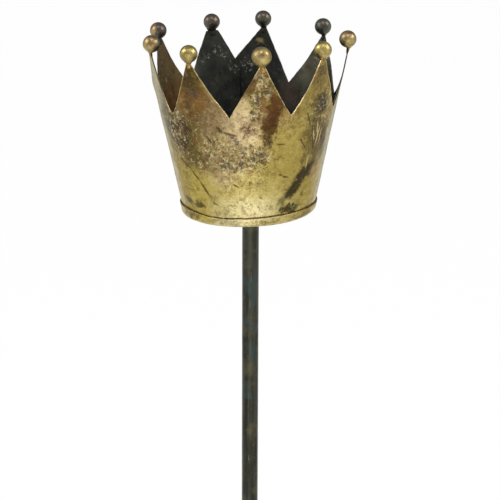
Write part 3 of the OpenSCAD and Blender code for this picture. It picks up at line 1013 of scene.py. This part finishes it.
def braze_metal():
    """Braze round the necks: gold outside, burnt towards the cup."""
    s = Shader("neck_braze")
    inward = s.attribute("inward", out="Fac")
    dark = s.step(s.math("MULTIPLY_ADD", s.noise(1.5, 3, 0.6), 0.8, inward), 0.1, 0.8)
    gold = s.two_tone(s.noise(1.2, 3, 0.6), 0.42, 0.62, "7a5f33", "b59a5a")
    colour = s.cover(gold, "2e2a22", dark)
    return s.output(base_color=colour, metallic=s.blend(dark, 0.95, 0.7),
                    roughness=s.roughness(s.noise(1.0, 3, 0.6), 0.32, 0.5),
                    normal=s.bump(s.noise(0.9, 3, 0.6), 0.1, 0.6))


def solder():
    """Dull brown solder with darker flux stains. Round the pan, its dark brown also paints the
    shade in the gap between flange and wall.
    """
    s = Shader("dull_solder_and_gap_shade", metallic=0.6)
    colour = s.two_tone(s.noise(2.5, 4, 0.6), 0.38, 0.62, "33240f", "5e4520")
    return s.output(base_color=colour, roughness=s.roughness(s.noise(1.5, 3), 0.45, 0.65),
                    normal=s.bump(s.noise(0.7, 3, 0.6), 0.08, 0.6))


def dark_bar():
    """Charcoal satin over drawn steel, with fine long scratches, dust and rust freckles."""
    s = Shader("dark_bar", specular_ior_level=0.25)
    long_way = s.vector("MULTIPLY", s.millimetres, (1, 1, 0.07))
    colour = s.two_tone(s.noise(2.4, 4, 0.6, vector=long_way), 0.36, 0.66, "2e2e26", "45463c")
    colour = s.cover(colour, "534f3a", s.step(s.noise(9, 4, 0.62), 0.48, 0.66, 0, 0.7))
    colour = s.cover(colour, "3c4946", s.step(s.noise(11, 3, 0.6, shift=6), 0.52, 0.64, 0, 0.6))
    scratch = s.step(s.noise(0.7, 3, 0.7, vector=long_way), 0.64, 0.74, 0, 0.5)
    colour = s.cover(colour, "85857a", scratch)
    rust = s.step(s.noise(4.5, 5, 0.68, shift=14), 0.64, 0.70, 0, 0.85)
    colour = s.cover(colour, "6b4428", rust)
    worn = s.math("MAXIMUM", rust, scratch)
    return s.output(base_color=colour, metallic=s.blend(worn, 0.92, 0.5),
                    roughness=s.roughness(s.noise(5, 3), 0.26, 0.36, worn),
                    normal=s.bump(s.noise(1.2, 4, 0.62, vector=long_way), 0.07, 0.5))


def zinc():
    """Dull zinc plate on the screw and its washer."""
    s = Shader("dull_zinc", metallic=0.95)
    spangle = s.noise(1.6, 3, 0.6)
    colour = s.two_tone(spangle, 0.35, 0.65, "8b8a82", "a9a79c")
    colour = s.cover(colour, "57452f", s.step(s.noise(3, 4, 0.65), 0.58, 0.7, 0, 0.8))
    return s.output(base_color=colour, roughness=s.roughness(spangle, 0.34, 0.5),
                    normal=s.bump(s.noise(0.5, 3), 0.04, 0.5))


# ---------------- build
gold, black, solder_and_gap_shade = antique_gold(), blackened(), solder()
make_crown_sheet(gold, black, cut_edge())
make_pan(gold, black)
make_pan_solder_and_gap_shade(solder_and_gap_shade)
make_lap_solder(solder_and_gap_shade)
ball_material, braze_material = ball_metal(), braze_metal()
for number, ball in enumerate(balls, start=1):
    make_ball(number, ball, ball_material)
    make_braze(number, ball, braze_material)
make_rod(dark_bar())
zinc_material = zinc()
for node in ("mounting_screw", "screw_washer"):
    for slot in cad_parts[node].material_slots:
        slot.material = zinc_material


# ---------------- studio
def make_floor():
    """A white floor under the stake's point. Its bounce comes from the lower half of the world."""
    size, gap = 14.0, 0.0002
    z = cad_box[0].z - gap
    mesh = bpy.data.meshes.new("studio_floor")
    mesh.from_pydata([(-size, -size, z), (size, -size, z), (size, size, z), (-size, size, z)],
                     [], [(0, 1, 2, 3)])
    floor = bpy.data.objects.new("studio_floor", mesh)
    scene.collection.objects.link(floor)
    s = Shader("pale_floor", roughness=0.9, specular_ior_level=0.0, emission_color=(1, 1, 1, 1),
               emission_strength=0.97)
    tone = s.mix(s.noise(300, 2), (0.03, 0.03, 0.03, 1), (0.04, 0.04, 0.04, 1))
    floor.data.materials.append(s.output(base_color=tone))
    floor.visible_glossy = floor.visible_diffuse = floor.visible_shadow = False


def make_world():
    """White all round to the eye. Its light is brightest from the paper in front, below."""
    world = bpy.data.worlds.new("studio")
    scene.world = world
    world.use_nodes = True
    w = Nodes(world.node_tree)
    toward = w.add("TexCoord", out="Generated")
    across, back, up = w.add("SeparateXYZ", {0: toward}).node.outputs
    around = w.math("ADD", w.step(back, -0.8, 0.3, 1.0, 0.9), w.step(back, 0.3, 1.0, 0.0, -0.45))
    light = w.math("MULTIPLY", around, w.step(up, -0.1, 0.35, 1.0, 0.45))
    aside = w.math("ABSOLUTE", across)
    paper = w.math("MULTIPLY", w.step(aside, 0.1, 0.65, 0.55, 0.0), w.step(back, -0.5, -0.2, 1, 0))
    light = w.math("MULTIPLY_ADD", paper, w.step(up, -0.2, 0.0, 1.0, 0.0), light)
    sides = w.math("MULTIPLY", w.step(aside, 0.02, 0.25, 0.0, 0.62), w.step(back, 0.5, 0.8, 0, 1))
    light = w.math("MULTIPLY_ADD", sides, w.step(up, -0.35, -0.297, 1.0, 0.0), light)
    seen = w.add("LightPath", out="Is Camera Ray")
    background = w.tree.nodes["Background"].inputs
    w.feed(background["Strength"], w.blend(seen, light, 1.0))
    w.feed(background["Color"], (1, 1, 1, 1))


def make_softbox(name, turn, height, distance, size, watts):
    """A square soft light aimed at the crown, turned round from the front and raised."""
    aim = CROWN @ Vector((0, 0, 0.05))
    turn, height = radians(turn), radians(height)
    away = Vector((sin(turn) * cos(height), -cos(turn) * cos(height), sin(height)))
    data = bpy.data.lights.new(name, "AREA")
    data.shape = "SQUARE"
    data.size = size
    data.energy = watts
    light = bpy.data.objects.new(name, data)
    light.location = aim + away * distance
    light.rotation_euler = away.to_track_quat("Z", "Y").to_euler()
    scene.collection.objects.link(light)


def make_camera():
    """The view of a product picture: close, from the front, a little above the crown."""
    distance, aside, below_pan = 0.885, -0.00024, 0.0202
    tilt, roll = radians(17.05), radians(0.18)
    data = bpy.data.cameras.new("product_view")
    data.lens = 132.3
    data.sensor_width = 36.0
    camera = bpy.data.objects.new("product_view", data)
    aim_z = CROWN.translation.z - below_pan
    camera.location = (aside, -distance * cos(tilt), aim_z + distance * sin(tilt))
    camera.rotation_euler = (Matrix.Rotation(pi / 2 - tilt, 3, "X")
                             @ Matrix.Rotation(roll, 3, "Z")).to_euler()
    scene.collection.objects.link(camera)
    scene.camera = camera


make_floor()
make_world()
make_softbox("left_box", -78, 35, 1.25, 0.55, 8)
make_softbox("right_box", 78, 35, 1.25, 0.55, 8)
make_softbox("high_box", 0, 66, 1.4, 0.4, 4)
make_camera()
scene.view_settings.view_transform = "Standard"
